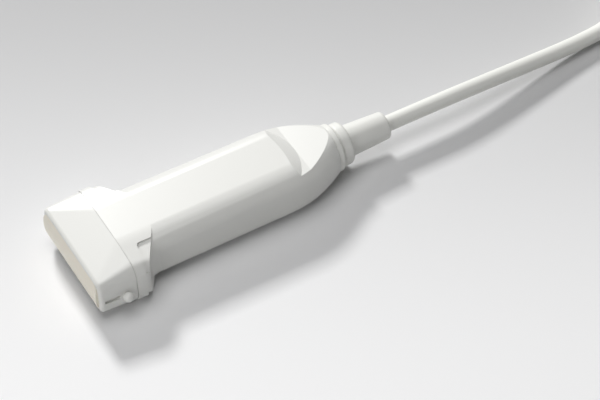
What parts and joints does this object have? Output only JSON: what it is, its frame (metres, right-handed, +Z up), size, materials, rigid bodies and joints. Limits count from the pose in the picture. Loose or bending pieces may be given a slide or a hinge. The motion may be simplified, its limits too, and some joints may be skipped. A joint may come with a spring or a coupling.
{
  "type": "ultrasound transducer probe",
  "caption": "Hand-held linear-array ultrasound probe: rectangular head with lens, waisted handle, strain relief, coiled cable and system connector with quarter-turn lock.",
  "frame": {"origin": "bottom centre of the probe's own box, without the cable beyond its strain relief; the probe lies on the flat underside of its grip", "axes": "+X from the lens along the handle to the cable, +Y across the head, +Z up through the handle's stepped side"},
  "size_m": [0.5069, 0.076, 0.034],
  "materials": {
    "housing_plastic": "moulded, satin gloss",
    "lens_silicone": "smooth cream silicone",
    "seal_rubber": "matt",
    "relief_elastomer": "satin",
    "cable_jacket": "satin extruded jacket",
    "matching_epoxy": "filled resin",
    "piezo_ceramic": "fired ceramic",
    "copper_foil": "bright foil",
    "backing_resin": "filled resin",
    "carrier_plastic": "moulded",
    "flex_film": "polyimide film",
    "board_laminate": "coated laminate",
    "socket_plastic": "moulded",
    "inductor_ferrite": "ferrite",
    "screw_steel": "passivated",
    "shield_tin": "tinned sheet",
    "conductor_sleeving": "bundled coaxial leads",
    "strap_fabric": "woven hook and loop",
    "connector_plastic": "fine texture",
    "block_plastic": "glass-filled",
    "contact_gold": "gold plated",
    "lock_plastic": "fine texture",
    "shaft_steel": "turned",
    "bush_bronze": "sintered"
  },
  "bodies": {
    "probe": {"acoustic_lens": "lens_silicone", "nose_piece": "housing_plastic", "nose_seal": "seal_rubber", "handle_shell_upper": "housing_plastic", "handle_shell_lower": "housing_plastic", "tail_ring": "relief_elastomer", "strain_relief": "relief_elastomer", "cable": "cable_jacket", "cable_coil": "cable_jacket", "cable_plug_end": "cable_jacket", "coil_straps": "strap_fabric", "matching_layer_outer": "matching_epoxy", "matching_layer_inner": "matching_epoxy", "ground_foil": "copper_foil", "piezo_array": "piezo_ceramic", "backing_block": "backing_resin", "array_carrier": "carrier_plastic", "flex_circuit_upper": "flex_film", "flex_circuit_lower": "flex_film", "interconnect_board_upper": "board_laminate", "interconnect_board_lower": "board_laminate", "flex_connectors": "socket_plastic", "tuning_inductors": "inductor_ferrite", "board_chassis": "carrier_plastic", "chassis_screws": "screw_steel", "rf_shield": "shield_tin", "conductor_bundle": "conductor_sleeving", "cable_clamp": "screw_steel", "connector_shell_front": "connector_plastic", "connector_shell_rear": "connector_plastic", "connector_gasket": "seal_rubber", "connector_screws": "screw_steel", "connector_shield": "shield_tin", "connector_boot": "relief_elastomer", "connector_board": "board_laminate", "pin_block": "block_plastic", "contact_pins": "contact_gold", "lock_bushes": "bush_bronze"},
    "lock": {"lock_handle": "lock_plastic", "lock_shaft": "shaft_steel", "lock_key": "shaft_steel", "lock_clip": "screw_steel"}
  },
  "joints": [
    {"name": "lock_turn", "type": "hinge", "parent": "probe", "child": "lock", "pos_m": [0.39345, 0.002, 0.017], "axis": [0, 1, 0], "range_deg": [0, 90]}
  ]
}
